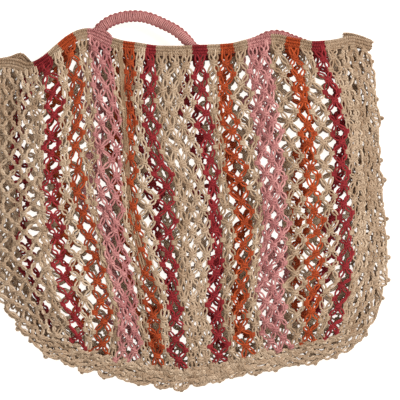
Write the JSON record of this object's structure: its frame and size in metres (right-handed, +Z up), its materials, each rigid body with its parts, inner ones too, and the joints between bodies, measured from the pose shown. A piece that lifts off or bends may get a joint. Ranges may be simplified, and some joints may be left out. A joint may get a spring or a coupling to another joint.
{
  "type": "bilum string bag",
  "caption": "Striped knotted jute string bag with a net gusset, corded heading and short rope handles, lying on its back.",
  "frame": {"origin": "on the surface that the bag lies on, under the middle of its box", "axes": "+X across the bag towards its right side seen from above, +Y from the bottom towards the mouth and the handles, +Z up, away from the surface"},
  "size_m": [0.4698, 0.4386, 0.0389],
  "materials": {
    "natural_jute": "twisted natural jute twine, matt",
    "pink_jute": "twisted jute twine dyed dusty pink, matt",
    "crimson_jute": "twisted jute twine dyed crimson, matt",
    "orange_jute": "twisted jute twine dyed burnt orange, matt"
  },
  "bodies": {
    "root": {"front_panel": "natural_jute", "back_panel": "natural_jute", "gusset": "natural_jute", "front_heading": "natural_jute", "back_heading": "natural_jute", "front_handle": "pink_jute", "back_handle": "pink_jute"}
  },
  "joints": []
}
